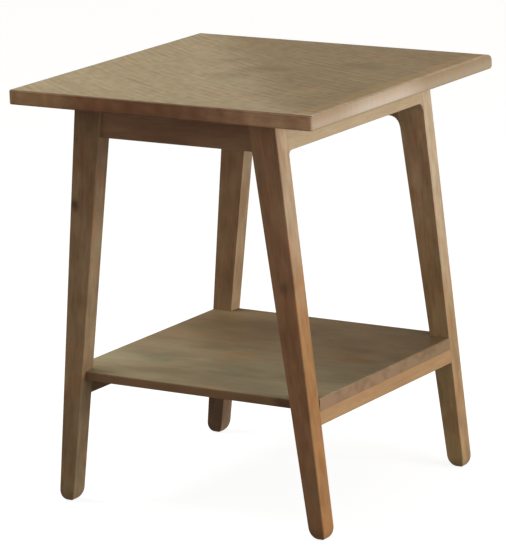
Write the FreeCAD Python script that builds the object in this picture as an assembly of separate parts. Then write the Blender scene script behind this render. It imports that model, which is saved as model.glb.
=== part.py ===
import FreeCAD, Part
import math
import os

# End table with a lower shelf, in solid wood.
# Frame: X runs along the front from left to right, Y from front to back, Z up.
# The origin is on the floor, in the middle of the table. Lengths are in millimetres.

V = FreeCAD.Vector

# ---- Driving dimensions: the table as a whole ----
TABLE_HEIGHT = 550.0
TOP_WIDTH = 450.0
TOP_DEPTH = 450.0
TOP_THICKNESS = 19.0
TOP_CORNER_RADIUS = 3.0
TOP_EDGE_ROUND = 2.0
TOP_REAR_ROUND = 9.0
TOP_REAR_UNDER_ROUND = 5.0
TOP_BOARD_COUNT = 4
REAR_STRIP_WIDTH = 28.0

# ---- Driving dimensions: legs ----
LEG_THICKNESS = 24.0
LEG_TOP_WIDTH = 41.0
LEG_FOOT_WIDTH = 22.5
LEG_TOP_INSET = 75.5
LEG_FOOT_INSET = 22.0
FRAME_INSET = 36.0
LEG_ARRIS = 2.0
FOOT_ROUND_WIDTH = 9.5
FOOT_ROUND_HEIGHT = 16.0

# ---- Driving dimensions: aprons and side rails under the top ----
FRONT_APRON_HEIGHT = 42.0
BACK_APRON_HEIGHT = 61.0
BACK_APRON_CORNER = 15.0
APRON_THICKNESS = 19.0
RAIL_HEIGHT = 41.0
SIDE_RAIL_THICKNESS = 24.0
SIDE_RAIL_CORNER = 8.0
EAR_LAND = 0.4
RAIL_ARRIS = 1.5

# ---- Driving dimensions: shelf ----
SHELF_TOP_HEIGHT = 178.0
SHELF_THICKNESS = 16.0
SHELF_FRONT_SETBACK = 8.0
SHELF_BACK_SETBACK = 3.0
SHELF_BOARD_COUNT = 4
SHELF_EDGE_ROUND = 2.5
SHELF_BEVEL_HEIGHT = 4.0
SHELF_NOTCH_CLEARANCE = 0.4
SHELF_RAIL_HEIGHT = 18.0
SHELF_RAIL_THICKNESS = 24.0

# ---- Driving dimensions: joinery ----
GLUE_CLEARANCE = 0.1
END_CLEARANCE = 0.5
TENON_THICKNESS = 8.0
TENON_TOP_SHOULDER = 8.0
TENON_BOTTOM_SHOULDER = 6.0
SHELF_TENON_SHOULDER = 3.0
APRON_TENON_LENGTH = 20.0
RAIL_TENON_LENGTH = 16.0
SPLINE_WIDTH = 16.0
SPLINE_THICKNESS = 4.0
SPLINE_INSET = 30.0

# ---- Driving dimensions: corner blocks, buttons and screws ----
BLOCK_SIZE = 52.0
BLOCK_TIP = 10.0
BLOCK_HEIGHT = 30.0
BLOCK_TOP_GAP = 2.0
BUTTON_LENGTH = 26.0
BUTTON_WIDTH = 24.0
BUTTON_THICKNESS = 14.0
TONGUE_LENGTH = 7.0
TONGUE_THICKNESS = 6.0
MORTISE_SIDE_CLEARANCE = 3.0
MORTISE_CLEARANCE = 0.5
BUTTON_OFFSET = 70.0
BUTTON_SCREW_BITE = 10.0
SHELF_SCREW_BITE = 12.0
SCREW_RADIUS = 2.0
SCREW_HEAD_RADIUS = 4.0
SCREW_HEAD_HEIGHT = 2.4

# ---- Places that follow from the dimensions ----
UNDERSIDE = TABLE_HEIGHT - TOP_THICKNESS
LEG_TOP_X = TOP_WIDTH / 2 - LEG_TOP_INSET
LEG_FOOT_X = TOP_WIDTH / 2 - LEG_FOOT_INSET
FRONT_FACE = FRAME_INSET - TOP_DEPTH / 2
LEG_INNER_Y = TOP_DEPTH / 2 - FRAME_INSET - LEG_THICKNESS
FOOT_ROUND = min(FOOT_ROUND_WIDTH, 0.45 * LEG_FOOT_WIDTH, 0.45 * LEG_THICKNESS)
SHELF_FRONT = FRONT_FACE + SHELF_FRONT_SETBACK
SHELF_BACK = -FRONT_FACE - SHELF_BACK_SETBACK
SHELF_UNDERSIDE = SHELF_TOP_HEIGHT - SHELF_THICKNESS
SHELF_RAIL_BOTTOM = SHELF_UNDERSIDE - SHELF_RAIL_HEIGHT
FAR = TOP_WIDTH + TOP_DEPTH
TINY = 0.01

parts = {}


def outer_x(z):
    """Distance of a leg's outer face from the middle of the table at height z."""
    lean = (LEG_FOOT_X - LEG_TOP_X) / UNDERSIDE
    return LEG_TOP_X + lean * (UNDERSIDE - z)


def inner_x(z):
    """Distance of a leg's inner face from the middle of the table at height z."""
    taper = (LEG_TOP_WIDTH - LEG_FOOT_WIDTH) / UNDERSIDE
    return outer_x(z) - LEG_TOP_WIDTH + taper * (UNDERSIDE - z)


# ---- Small building tools ----
def face_of(points):
    return Part.Face(Part.makePolygon([V(*p) for p in points] + [V(*points[0])]))


def prism_along_x(profile, x_low, x_high):
    """A prism whose outline is given as (y, z) points."""
    return face_of([(x_low, y, z) for y, z in profile]).extrude(V(x_high - x_low, 0, 0))


def prism_along_y(profile, y_low, y_high):
    """A prism whose outline is given as (x, z) points."""
    return face_of([(x, y_low, z) for x, z in profile]).extrude(V(0, y_high - y_low, 0))


def prism_along_z(profile, z_low, z_high):
    """A prism whose outline is given as (x, y) points."""
    return face_of([(x, y, z_low) for x, y in profile]).extrude(V(0, 0, z_high - z_low))


def block(x_low, x_high, y_low, y_high, z_low, z_high):
    corner = V(x_low, y_low, z_low)
    return Part.makeBox(x_high - x_low, y_high - y_low, z_high - z_low, corner)


def round_edges(shape, radius, wanted):
    return shape.makeFillet(radius, [edge for edge in shape.Edges if wanted(edge.BoundBox)])


def soft_corner(corner, start_side, start_length, end_side, end_length):
    """An elliptical arc across a corner; it leaves each side of the corner along that side."""
    start = corner + V(start_side).normalize() * start_length
    end = corner + V(end_side).normalize() * end_length
    curve = Part.BezierCurve()
    curve.setPoles([start, corner, end])
    curve.setWeight(2, math.sqrt(0.5))
    return start, curve.toShape(), end


def mirrored(shape, flip_x, flip_y):
    if flip_x:
        shape = shape.mirror(V(0, 0, 0), V(1, 0, 0))
    if flip_y:
        shape = shape.mirror(V(0, 0, 0), V(0, 1, 0))
    return shape


def cut_from(names, tools):
    """Cut holes or pockets in the named pieces that the tools reach."""
    for name in names:
        near = [tool for tool in tools if tool.BoundBox.intersect(parts[name].BoundBox)]
        if near:
            parts[name] = parts[name].cut(near)


def corner_name(flip_x, flip_y):
    return ("back_" if flip_y else "front_") + ("left" if flip_x else "right")


CORNERS = [(flip_x, flip_y) for flip_y in (False, True) for flip_x in (True, False)]


# ---- Legs: raked, tapered in width, with soft arrises and rounded feet ----
def leg_side(top_1, foot_1, foot_2, top_2, depth):
    """A leg as seen from one side, extruded by depth, with both corners of the foot rounded."""
    sole = foot_2 - foot_1
    high_1, arc_1, low_1 = soft_corner(foot_1, top_1 - foot_1, FOOT_ROUND_HEIGHT, sole, FOOT_ROUND)
    low_2, arc_2, high_2 = soft_corner(foot_2, -sole, FOOT_ROUND, top_2 - foot_2, FOOT_ROUND_HEIGHT)
    edges = [
        Part.makeLine(top_1, high_1),
        arc_1,
        Part.makeLine(low_1, low_2),
        arc_2,
        Part.makeLine(high_2, top_2),
        Part.makeLine(top_2, top_1),
    ]
    return Part.Face(Part.Wire(edges)).extrude(depth)


def make_leg():
    """The front right leg; the other three are its mirror images."""
    y_low = FRONT_FACE
    y_high = FRONT_FACE + LEG_THICKNESS
    from_front = leg_side(
        V(inner_x(UNDERSIDE), y_low, UNDERSIDE),
        V(inner_x(0), y_low, 0),
        V(outer_x(0), y_low, 0),
        V(outer_x(UNDERSIDE), y_low, UNDERSIDE),
        V(0, LEG_THICKNESS, 0),
    )
    from_side = leg_side(
        V(0, y_low, UNDERSIDE), V(0, y_low, 0), V(0, y_high, 0), V(0, y_high, UNDERSIDE), V(FAR, 0, 0)
    )
    return round_edges(from_front.common(from_side), LEG_ARRIS, is_front_arris)


def is_front_arris(box):
    """The two long front edges; those that meet the rails stay square."""
    return box.YMax < FRONT_FACE + TINY and box.ZLength > UNDERSIDE / 2


def make_legs():
    leg = make_leg()
    for flip_x, flip_y in CORNERS:
        parts["leg_" + corner_name(flip_x, flip_y)] = mirrored(leg, flip_x, flip_y)


# ---- Aprons: across the front and the back, set back from the leg faces ----
def make_apron(height, corner_radius):
    """A board between two raked legs; a corner radius leaves a small ear on each leg."""
    bottom = UNDERSIDE - height
    lean = math.atan((inner_x(0) - inner_x(UNDERSIDE)) / UNDERSIDE)
    tangent = corner_radius / math.tan((math.pi / 2 + lean) / 2)
    ear_bottom = bottom - tangent * math.cos(lean)
    y_high = -LEG_INNER_Y
    y_low = y_high - APRON_THICKNESS
    outline = [
        (-inner_x(UNDERSIDE), UNDERSIDE),
        (inner_x(UNDERSIDE), UNDERSIDE),
        (inner_x(ear_bottom), ear_bottom),
        (-inner_x(ear_bottom), ear_bottom),
    ]
    apron = prism_along_y(outline, y_low, y_high)
    if corner_radius > 0:
        apron = apron.cut(opening_between_legs(bottom, ear_bottom, corner_radius))
    return round_edges(apron, RAIL_ARRIS, lambda box: is_lower_front_edge(box, bottom, y_low))


def opening_between_legs(top, bottom, corner_radius):
    """The space under an apron, with rounded upper corners."""
    low = bottom - 1
    outline = [
        (EAR_LAND - inner_x(top), top),
        (inner_x(top) - EAR_LAND, top),
        (inner_x(low) - EAR_LAND, low),
        (EAR_LAND - inner_x(low), low),
    ]
    space = prism_along_y(outline, -FAR, FAR)
    return round_edges(space, corner_radius, lambda box: box.YLength > FAR and box.ZMin > top - TINY)


def is_lower_front_edge(box, bottom, y_face):
    on_face = box.YMax < y_face + TINY
    return on_face and abs(box.ZMin - bottom) < TINY and box.ZLength < TINY and box.XLength > LEG_TOP_WIDTH


def make_aprons():
    parts["front_apron"] = make_apron(FRONT_APRON_HEIGHT, 0)
    parts["back_apron"] = mirrored(make_apron(BACK_APRON_HEIGHT, BACK_APRON_CORNER), False, True)


# ---- Side rails: flush with the raked outer faces of the legs ----
def raked_prism(z_low, z_high, inset, thickness, y_low, y_high):
    """A bar along Y, parallel to the legs' outer faces and inset from them."""
    outline = [
        (outer_x(z_high) - inset, z_high),
        (outer_x(z_low) - inset, z_low),
        (outer_x(z_low) - inset - thickness, z_low),
        (outer_x(z_high) - inset - thickness, z_high),
    ]
    return prism_along_y(outline, y_low, y_high)


def raked_board(z_low, z_high, thickness):
    """A board from leg to leg along Y whose outer face follows the legs' outer faces."""
    return raked_prism(z_low, z_high, 0, thickness, -LEG_INNER_Y, LEG_INNER_Y)


def make_side_rail():
    bottom = UNDERSIDE - RAIL_HEIGHT
    ear_bottom = bottom - SIDE_RAIL_CORNER
    half = LEG_INNER_Y - EAR_LAND
    rail = raked_board(ear_bottom, UNDERSIDE, SIDE_RAIL_THICKNESS)
    space = block(-FAR, FAR, -half, half, ear_bottom - 1, bottom)
    space = round_edges(
        space, SIDE_RAIL_CORNER, lambda box: box.XLength > FAR and box.ZMin > bottom - TINY
    )
    return soften_lower_edge(rail.cut(space), bottom)


def soften_lower_edge(rail, bottom):
    """Round the lower outer edge of a rail on the right side of the table."""
    limit = outer_x(bottom) - TINY

    def is_lower_outer_edge(box):
        return box.XMin > limit and abs(box.ZMin - bottom) < TINY and box.ZLength < TINY

    return round_edges(rail, RAIL_ARRIS, is_lower_outer_edge)


def make_side_rails():
    upper = make_side_rail()
    lower = raked_board(SHELF_RAIL_BOTTOM, SHELF_UNDERSIDE, SHELF_RAIL_THICKNESS)
    lower = soften_lower_edge(lower, SHELF_RAIL_BOTTOM)
    for flip_x, side in ((True, "left"), (False, "right")):
        parts[side + "_side_rail"] = mirrored(upper, flip_x, False)
        parts[side + "_shelf_rail"] = mirrored(lower, flip_x, False)


# ---- Top and shelf: boards glued edge to edge ----
def split_into_boards(panel, joints, names):
    """Cut a panel along its glue joints, from front to back, into named boards."""
    edges = [-FAR] + joints + [FAR]
    for name, y_low, y_high in zip(names, edges[:-1], edges[1:]):
        parts[name] = panel.common(block(-FAR, FAR, y_low, y_high, -FAR, FAR))


def top_joints():
    board = (TOP_DEPTH - REAR_STRIP_WIDTH) / TOP_BOARD_COUNT
    return [-TOP_DEPTH / 2 + board * (index + 1) for index in range(TOP_BOARD_COUNT)]


def is_front_corner(box):
    return box.YMax < TINY - TOP_DEPTH / 2 and box.XLength < TINY


def is_top_arris(box):
    """The outer edges of the top, apart from the rounded corners in front and the rear edges."""
    on_end = box.XLength < TINY and box.YMin > -TOP_DEPTH / 2 - TINY
    upright = box.ZLength > TOP_THICKNESS / 2 and box.YMax < 0
    on_front = box.ZLength < TINY and box.YMax < TOP_CORNER_RADIUS - TOP_DEPTH / 2 + TINY
    return (on_end and not upright) or on_front


def is_rear_edge(box, z):
    on_back = box.YMin > TOP_DEPTH / 2 - TINY
    return on_back and box.XLength > TOP_WIDTH / 2 and abs(box.ZMin - z) < TINY


def make_top():
    panel = block(
        -TOP_WIDTH / 2, TOP_WIDTH / 2, -TOP_DEPTH / 2, TOP_DEPTH / 2, UNDERSIDE, TABLE_HEIGHT
    )
    panel = round_edges(panel, TOP_REAR_ROUND, lambda box: is_rear_edge(box, TABLE_HEIGHT))
    panel = round_edges(panel, TOP_REAR_UNDER_ROUND, lambda box: is_rear_edge(box, UNDERSIDE))
    panel = round_edges(panel, TOP_CORNER_RADIUS, is_front_corner)
    panel = round_edges(panel, TOP_EDGE_ROUND, is_top_arris)
    names = ["top_board_%d" % (index + 1) for index in range(TOP_BOARD_COUNT)]
    split_into_boards(panel, top_joints(), names + ["top_rear_strip"])


def shelf_joints():
    board = (SHELF_BACK - SHELF_FRONT) / SHELF_BOARD_COUNT
    return [SHELF_FRONT + board * (index + 1) for index in range(SHELF_BOARD_COUNT - 1)]


def shelf_profile():
    """The shelf's outline from front to back; each long edge is bevelled underneath."""
    bevel_z = SHELF_UNDERSIDE + SHELF_BEVEL_HEIGHT
    return [
        (SHELF_FRONT, SHELF_TOP_HEIGHT),
        (SHELF_FRONT, bevel_z),
        (-LEG_INNER_Y, SHELF_UNDERSIDE),
        (LEG_INNER_Y, SHELF_UNDERSIDE),
        (SHELF_BACK, bevel_z),
        (SHELF_BACK, SHELF_TOP_HEIGHT),
    ]


def make_shelf():
    half_width = outer_x(SHELF_UNDERSIDE)
    panel = prism_along_x(shelf_profile(), -half_width, half_width)
    panel = round_edges(panel, SHELF_EDGE_ROUND, lambda box: box.ZMin > SHELF_TOP_HEIGHT - TINY)
    notches = [mirrored(make_notch(), flip_x, flip_y) for flip_x, flip_y in CORNERS]
    panel = panel.cut(notches)
    names = ["shelf_board_%d" % (index + 1) for index in range(SHELF_BOARD_COUNT)]
    split_into_boards(panel, shelf_joints(), names)


def make_notch():
    """The corner of the shelf that the front right leg passes through."""
    low = SHELF_UNDERSIDE - 1
    high = SHELF_TOP_HEIGHT + 1
    outline = [
        (inner_x(low) - SHELF_NOTCH_CLEARANCE, low),
        (FAR, low),
        (FAR, high),
        (inner_x(high) - SHELF_NOTCH_CLEARANCE, high),
    ]
    return prism_along_y(outline, -FAR, -LEG_INNER_Y + SHELF_NOTCH_CLEARANCE)


# ---- Splines: loose tongues inside the glue joints of the top and the shelf ----
def make_spline(length, y, z, clearance):
    half = length / 2 + clearance
    reach = SPLINE_WIDTH / 2 + clearance
    rise = SPLINE_THICKNESS / 2 + clearance
    return block(-half, half, y - reach, y + reach, z - rise, z + rise)


def add_splines(node, joints, panel_width, z, board_names):
    length = panel_width - 2 * SPLINE_INSET
    parts[node] = Part.makeCompound([make_spline(length, joint, z, 0) for joint in joints])
    cut_from(board_names, [make_spline(length, joint, z, GLUE_CLEARANCE) for joint in joints])


def make_splines():
    top_boards = [name for name in parts if name.startswith("top_")]
    shelf_boards = [name for name in parts if name.startswith("shelf_board")]
    shelf_width = 2 * outer_x(SHELF_UNDERSIDE)
    top_middle = UNDERSIDE + TOP_THICKNESS / 2
    shelf_middle = SHELF_UNDERSIDE + SHELF_THICKNESS / 2
    add_splines("top_splines", top_joints(), TOP_WIDTH, top_middle, top_boards)
    add_splines("shelf_splines", shelf_joints(), shelf_width, shelf_middle, shelf_boards)


# ---- Tenons: on the ends of the aprons and rails, each in a mortise in its leg ----
def apron_tenon(height, clearance):
    """A tenon along X for the front right corner, or the room that it needs in the leg."""
    middle = -LEG_INNER_Y - APRON_THICKNESS / 2
    half = TENON_THICKNESS / 2 + clearance
    root = inner_x(UNDERSIDE) - APRON_THICKNESS / 2
    end = inner_x(UNDERSIDE) + APRON_TENON_LENGTH + clearance
    z_low = UNDERSIDE - height + TENON_BOTTOM_SHOULDER - clearance
    z_high = UNDERSIDE - TENON_TOP_SHOULDER + clearance
    return block(root, end, middle - half, middle + half, z_low, z_high)


def rail_tenon(z_low, z_high, rail_thickness, clearance):
    """A tenon along Y for the front right corner, or the room that it needs in the leg."""
    inset = (rail_thickness - TENON_THICKNESS) / 2 - clearance
    thickness = TENON_THICKNESS + 2 * clearance
    root = -LEG_INNER_Y + TENON_THICKNESS / 2
    end = -LEG_INNER_Y - RAIL_TENON_LENGTH - clearance
    return raked_prism(z_low - clearance, z_high + clearance, inset, thickness, end, root)


def corner_tenons(flip_y, clearance):
    """The tenons that meet in one leg: of the apron, the side rail and the shelf rail."""
    apron_height = BACK_APRON_HEIGHT if flip_y else FRONT_APRON_HEIGHT
    rail_low = UNDERSIDE - RAIL_HEIGHT + TENON_BOTTOM_SHOULDER
    rail_high = UNDERSIDE - TENON_TOP_SHOULDER
    shelf_low = SHELF_RAIL_BOTTOM + SHELF_TENON_SHOULDER
    shelf_high = SHELF_UNDERSIDE - SHELF_TENON_SHOULDER
    return [
        apron_tenon(apron_height, clearance),
        rail_tenon(rail_low, rail_high, SIDE_RAIL_THICKNESS, clearance),
        rail_tenon(shelf_low, shelf_high, SHELF_RAIL_THICKNESS, clearance),
    ]


def make_tenons():
    for flip_x, flip_y in CORNERS:
        side = "left" if flip_x else "right"
        apron = "back_apron" if flip_y else "front_apron"
        names = [apron, side + "_side_rail", side + "_shelf_rail"]
        for name, tenon in zip(names, corner_tenons(flip_y, 0)):
            parts[name] = parts[name].fuse(mirrored(tenon, flip_x, flip_y)).removeSplitter()
        mortises = corner_tenons(flip_y, GLUE_CLEARANCE)
        cut_from(
            ["leg_" + corner_name(flip_x, flip_y)],
            [mirrored(mortise, flip_x, flip_y) for mortise in mortises],
        )


# ---- Screws ----
def make_screw(length):
    """A pan head screw with its head under the origin and its shank upward."""
    head = Part.makeCylinder(SCREW_HEAD_RADIUS, SCREW_HEAD_HEIGHT, V(0, 0, -SCREW_HEAD_HEIGHT))
    return head.fuse(Part.makeCylinder(SCREW_RADIUS, length))


def add_screws(node, length, places, names):
    """Screws driven straight up; each place is where a head bears on the wood."""
    screws = []
    holes = []
    for place in places:
        screws.append(make_screw(length).translated(V(*place)))
        hole = Part.makeCylinder(SCREW_RADIUS + GLUE_CLEARANCE, length + END_CLEARANCE)
        holes.append(hole.translated(V(*place)))
    parts[node] = Part.makeCompound(screws)
    cut_from(names, holes)


# ---- Corner blocks: glued in behind each leg ----
def rail_inner_x(z):
    return outer_x(z) - SIDE_RAIL_THICKNESS


def make_corner_block():
    """The front right block, against the side rail and the back of the leg and apron."""
    z_high = UNDERSIDE - BLOCK_TOP_GAP
    z_low = z_high - BLOCK_HEIGHT
    seat = rail_inner_x(z_high)
    y_seat = -LEG_INNER_Y
    plan = [
        (seat - BLOCK_SIZE, y_seat),
        (FAR, y_seat),
        (FAR, y_seat + BLOCK_SIZE),
        (seat - BLOCK_TIP, y_seat + BLOCK_SIZE),
        (seat - BLOCK_SIZE, y_seat + BLOCK_TIP),
    ]
    inside = [
        (-FAR, z_low),
        (rail_inner_x(z_low), z_low),
        (rail_inner_x(z_high), z_high),
        (-FAR, z_high),
    ]
    return prism_along_z(plan, z_low, z_high).common(prism_along_y(inside, -FAR, FAR))


def make_corner_blocks():
    corner = make_corner_block()
    for flip_x, flip_y in CORNERS:
        parts["corner_block_" + corner_name(flip_x, flip_y)] = mirrored(corner, flip_x, flip_y)


# ---- Buttons: wooden turn buttons that hold the top down and let it move ----
def make_button():
    """A button with its tongue toward +X, its end at x = 0 and its upper face at z = 0."""
    half = BUTTON_WIDTH / 2
    outline = [
        (-BUTTON_LENGTH, 0),
        (-BUTTON_LENGTH, -BUTTON_THICKNESS),
        (TONGUE_LENGTH, -BUTTON_THICKNESS),
        (TONGUE_LENGTH, TONGUE_THICKNESS - BUTTON_THICKNESS),
        (0, TONGUE_THICKNESS - BUTTON_THICKNESS),
        (0, 0),
    ]
    return prism_along_y(outline, -half, half)


def make_button_mortise():
    half = BUTTON_WIDTH / 2 + MORTISE_SIDE_CLEARANCE
    z_high = TONGUE_THICKNESS - BUTTON_THICKNESS
    z_low = -BUTTON_THICKNESS - MORTISE_CLEARANCE
    return block(-TONGUE_LENGTH, TONGUE_LENGTH + 1, -half, half, z_low, z_high)


def button_places():
    """Name, end of the body and direction of the tongue for each button."""
    rail_x = rail_inner_x(UNDERSIDE)
    places = []
    for side_name, side in (("left", -1), ("right", 1)):
        for end_name, end in (("front", -1), ("back", 1)):
            name = "top_button_%s_%s" % (side_name, end_name)
            places.append((name, (side * rail_x, end * BUTTON_OFFSET, UNDERSIDE), (side, 0)))
    places.append(("top_button_front_apron", (0, -LEG_INNER_Y, UNDERSIDE), (0, -1)))
    places.append(("top_button_back_apron", (0, LEG_INNER_Y, UNDERSIDE), (0, 1)))
    return places


def make_buttons():
    screws = []
    for name, point, (dx, dy) in button_places():
        angle = math.degrees(math.atan2(dy, dx))
        turn = FreeCAD.Placement(V(*point), FreeCAD.Rotation(V(0, 0, 1), angle))
        button = make_button()
        button.Placement = turn
        mortise = make_button_mortise()
        mortise.Placement = turn
        parts[name] = button
        cut_from(["front_apron", "back_apron", "left_side_rail", "right_side_rail"], [mortise])
        x = point[0] - dx * BUTTON_LENGTH / 2
        y = point[1] - dy * BUTTON_LENGTH / 2
        screws.append((x, y, UNDERSIDE - BUTTON_THICKNESS))
    names = [name for name in parts if name.startswith("top_b")]
    add_screws("top_button_screws", BUTTON_THICKNESS + BUTTON_SCREW_BITE, screws, names)


# ---- Shelf screws: up through the shelf rails, one into each board ----
def make_shelf_screws():
    x = outer_x(SHELF_RAIL_BOTTOM + SHELF_RAIL_HEIGHT / 2) - SHELF_RAIL_THICKNESS / 2
    board = (SHELF_BACK - SHELF_FRONT) / SHELF_BOARD_COUNT
    places = []
    for side in (-1, 1):
        for index in range(SHELF_BOARD_COUNT):
            y = SHELF_FRONT + board * (index + 0.5)
            places.append((side * x, y, SHELF_RAIL_BOTTOM))
    names = ["left_shelf_rail", "right_shelf_rail"]
    names += [name for name in parts if name.startswith("shelf_board")]
    add_screws("shelf_screws", SHELF_RAIL_HEIGHT + SHELF_SCREW_BITE, places, names)


def save_parts():
    os.makedirs("parts", exist_ok=True)
    for name, shape in parts.items():
        shape.exportStep("parts/%s.step" % name)
        print(name, "solids", len(shape.Solids), "valid", shape.isValid())


make_legs()
make_aprons()
make_side_rails()
make_top()
make_shelf()
make_splines()
make_tenons()
make_corner_blocks()
make_buttons()
make_shelf_screws()
save_parts()
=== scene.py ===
# %% [markdown]
# # End table with a shelf
#
# A square wooden table on four raked legs, with aprons under the top and a low shelf between the
# legs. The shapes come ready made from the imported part, so this lesson is about looks: one oiled,
# brown wood, cut into boards that each show it in their own way, and the soft daylight that it
# stands in.

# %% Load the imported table
import math

import bpy
from mathutils import Matrix, Vector


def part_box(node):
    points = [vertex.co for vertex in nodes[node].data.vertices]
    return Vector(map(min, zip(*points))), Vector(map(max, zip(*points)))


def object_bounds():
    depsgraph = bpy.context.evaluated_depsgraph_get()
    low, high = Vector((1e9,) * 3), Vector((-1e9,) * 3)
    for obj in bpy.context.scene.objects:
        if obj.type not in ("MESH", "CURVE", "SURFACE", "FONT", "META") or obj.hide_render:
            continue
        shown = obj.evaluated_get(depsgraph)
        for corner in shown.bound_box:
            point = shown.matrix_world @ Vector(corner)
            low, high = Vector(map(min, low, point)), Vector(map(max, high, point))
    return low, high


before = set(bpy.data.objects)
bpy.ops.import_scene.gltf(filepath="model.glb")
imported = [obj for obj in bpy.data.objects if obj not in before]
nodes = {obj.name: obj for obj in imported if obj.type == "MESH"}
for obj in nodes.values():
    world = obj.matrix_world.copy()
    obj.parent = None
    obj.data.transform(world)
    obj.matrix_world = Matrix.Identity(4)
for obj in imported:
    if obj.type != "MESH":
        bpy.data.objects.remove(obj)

cad_low, cad_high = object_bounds()
table_middle = Vector((0, 0, cad_high.z / 2))
print("pieces in the table:", len(nodes))
print("size in millimetres:", [round(1000 * side) for side in cad_high - cad_low])

# %% [markdown]
# A material is a tree of nodes. Adding and linking them one by one would bury the idea of a finish
# in bookkeeping, so `put` adds a node and fills its sockets in one line, and a socket takes either
# a value or the output of an earlier node. The other helpers are everyday sums on top of it: on
# numbers, on places in space and on colours, and the noise that every natural surface needs.

# %% Helpers that add nodes
def put(tree, kind, sockets=None, **settings):
    """Add a shader node; sockets gives its inputs by name or number."""
    made = tree.nodes.new("ShaderNode" + kind)
    for name, value in settings.items():
        setattr(made, name, value)
    for key, value in (sockets or {}).items():
        if isinstance(value, bpy.types.NodeSocket):
            tree.links.new(value, made.inputs[key])
        else:
            made.inputs[key].default_value = value
    return made


def reckon(tree, operation, first, second=0.5, third=0.5):
    """A sum on numbers, such as ADD or MULTIPLY."""
    sockets = {0: first, 1: second, 2: third}
    return put(tree, "Math", sockets, operation=operation).outputs[0]


def reckon_places(tree, operation, first, second=(0, 0, 0)):
    """A sum on places or directions; a DOT_PRODUCT or a LENGTH is a number."""
    sums = put(tree, "VectorMath", {0: first, 1: second}, operation=operation).outputs
    return sums["Value" if operation in ("DOT_PRODUCT", "LENGTH") else "Vector"]


def fade(tree, value, low, high, start=0.0, end=1.0):
    """A smooth change from start to end while the value goes from low to high."""
    sockets = {"Value": value, "From Min": low, "From Max": high, "To Min": start, "To Max": end}
    return put(tree, "MapRange", sockets, interpolation_type="SMOOTHSTEP").outputs["Result"]


def blend(tree, share, first, second, way="MIX"):
    """A colour between the first (share 0) and the second (share 1)."""
    sockets = {0: share, 6: first, 7: second}
    return put(tree, "Mix", sockets, data_type="RGBA", blend_type=way).outputs[2]


def noise(tree, place, scale=1.0, detail=2.0, roughness=0.5):
    """A cloudy number round one half; scale is how often it changes in a metre."""
    sockets = {"Vector": place, "Scale": scale, "Detail": detail, "Roughness": roughness}
    return put(tree, "TexNoise", sockets).outputs["Fac"]


def grey(level):
    """A grey colour."""
    return (level, level, level, 1)


def new_tree(name):
    """A new material and its empty tree of nodes."""
    material = bpy.data.materials.new(name)
    material.use_nodes = True
    material.node_tree.nodes.clear()
    return material, material.node_tree


# %% [markdown]
# The camera stands a little under five metres away with a long lens, low and to the right, so that
# the front and the right side both show and the upright lines hardly converge. A constraint could
# aim it at the table, but a matrix made from three angles also holds its slight roll. Angles are in
# radians and lengths in metres. The lens follows from a focal length in pixels, because the height,
# which is the longer side of the image, spans the whole sensor.

# %% Camera
CAMERA_YAW = 0.57333
CAMERA_PITCH = 0.23837
CAMERA_ROLL = 0.03532
CAMERA_DISTANCE = 4.78129
CAMERA_ASIDE = 0.01013
CAMERA_BELOW = 0.00090
FOCAL_PIXELS = 3676.94
IMAGE_HEIGHT = 558
SENSOR = 36.0


def camera_matrix():
    """Where the camera stands and how it is turned."""
    ahead = Vector((
        -math.sin(CAMERA_YAW) * math.cos(CAMERA_PITCH),
        math.cos(CAMERA_YAW) * math.cos(CAMERA_PITCH),
        -math.sin(CAMERA_PITCH),
    ))
    level = Vector((math.cos(CAMERA_YAW), math.sin(CAMERA_YAW), 0))
    right = Matrix.Rotation(CAMERA_ROLL, 3, ahead) @ level
    up = right.cross(ahead)
    place = table_middle - CAMERA_DISTANCE * ahead - CAMERA_ASIDE * right + CAMERA_BELOW * up
    turn = Matrix((right, up, -ahead)).transposed()
    return Matrix.Translation(place) @ turn.to_4x4()


camera = bpy.data.objects.new("camera", bpy.data.cameras.new("camera"))
camera.data.sensor_width = SENSOR
camera.data.lens = SENSOR * FOCAL_PIXELS / IMAGE_HEIGHT
camera.matrix_world = camera_matrix()
bpy.context.scene.collection.objects.link(camera)
bpy.context.scene.camera = camera
print("lens", round(camera.data.lens), "mm")
print("camera at", [round(part, 2) for part in camera.matrix_world.translation])

# %% [markdown]
# The table stands between a wide window on its right and a skylight high on its left. The right
# hand faces are bright, the top is brightest toward the skylight, and the front is left in soft
# shade. Sun lamps would light each face evenly and draw hard shadows. Area lamps give soft shadows
# and grow weaker with distance, as windows do, and a dim, warm world stands for what the walls send
# back.

# %% World and lamps
WALL_LIGHT = (0.36, 0.3348, 0.3024, 1)
WHITE = (1, 1, 1, 1)
WINDOW = {"place": (2.2, 0.1, 0.55), "power": 41.0, "size": 1.3}
SKYLIGHT = {"place": (-1.1, -0.35, 1.9), "power": 24.0, "size": 1.0}


def seen_directly(tree):
    """1 for what the eye or a reflection sees, and 0 for the light that a surface gathers."""
    ray = put(tree, "LightPath").outputs
    seen = reckon(tree, "MAXIMUM", ray["Is Camera Ray"], ray["Is Transmission Ray"])
    return reckon(tree, "MAXIMUM", seen, ray["Is Glossy Ray"])


def make_world():
    """White for the eye and for reflections, and a dim even light for everything else."""
    world = bpy.data.worlds.new("studio")
    world.use_nodes = True
    tree = world.node_tree
    tree.nodes.clear()
    colour = blend(tree, seen_directly(tree), WALL_LIGHT, WHITE)
    sky = put(tree, "Background", {"Color": colour})
    put(tree, "OutputWorld", {"Surface": sky.outputs[0]})
    bpy.context.scene.world = world


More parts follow.
